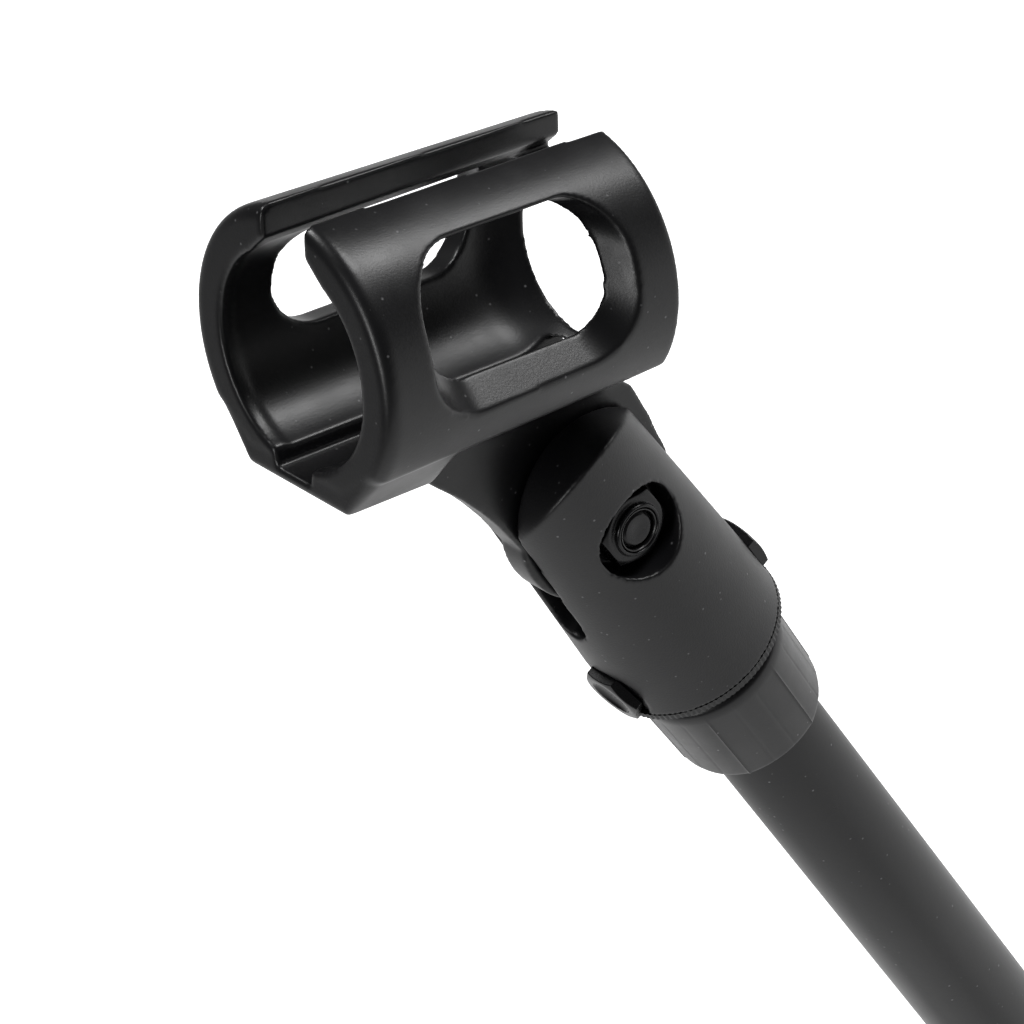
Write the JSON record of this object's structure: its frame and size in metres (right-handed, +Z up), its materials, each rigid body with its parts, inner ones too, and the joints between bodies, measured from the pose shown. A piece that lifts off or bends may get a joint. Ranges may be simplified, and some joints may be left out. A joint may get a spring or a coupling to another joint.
{
  "type": "microphone clip on a stand tube",
  "caption": "Slotted microphone clip that tilts in the forked top of a swivel barrel, locked by a ring on a threaded stand tube.",
  "frame": {"origin": "centre of the flat lower end of the stand tube's plug", "axes": "+Z up the stand tube; the tilt axis runs along Y, with the lock nut at -Y; the wide mouth of the clip faces -X and up"},
  "size_m": [0.0553, 0.0372, 0.2379],
  "materials": {
    "clip_abs": "satin moulded ABS",
    "barrel_abs": "fine textured moulded ABS",
    "ring_plastic": "satin moulding",
    "tube_coating": "satin powder coat",
    "plug_plastic": "satin",
    "black_steel": "black oxide",
    "zinc_steel": "zinc plated",
    "nylon": "smooth",
    "fibre": "pressed fibre"
  },
  "bodies": {
    "stand": {"stand_tube": "tube_coating", "threaded_stud": "zinc_steel", "stud_pin": "zinc_steel", "tube_end_plug": "plug_plastic"},
    "ring": {"lock_ring": "ring_plastic", "ring_thread_insert": "zinc_steel"},
    "swivel": {"swivel_barrel": "barrel_abs", "thread_insert": "zinc_steel", "insert_screw_left": "black_steel", "insert_screw_right": "black_steel", "pivot_bolt": "black_steel", "pivot_nut": "black_steel", "nut_nylon_ring": "nylon", "nut_washer": "black_steel", "head_washer": "black_steel"},
    "clip": {"clip_shell": "clip_abs", "friction_washer_near": "fibre", "friction_washer_far": "fibre"}
  },
  "joints": [
    {"name": "ring_turn", "type": "hinge", "parent": "stand", "child": "ring", "pos_m": [0, 0, 0.13], "axis": [0, 0, 1], "continuous": true},
    {"name": "barrel_swivel", "type": "hinge", "parent": "stand", "child": "swivel", "pos_m": [0, 0, 0.14], "axis": [0, 0, 1], "continuous": true},
    {"name": "clip_tilt", "type": "hinge", "parent": "swivel", "child": "clip", "pos_m": [0, 0, 0.1705], "axis": [0, 1, 0], "range_deg": [-93, 86]}
  ]
}
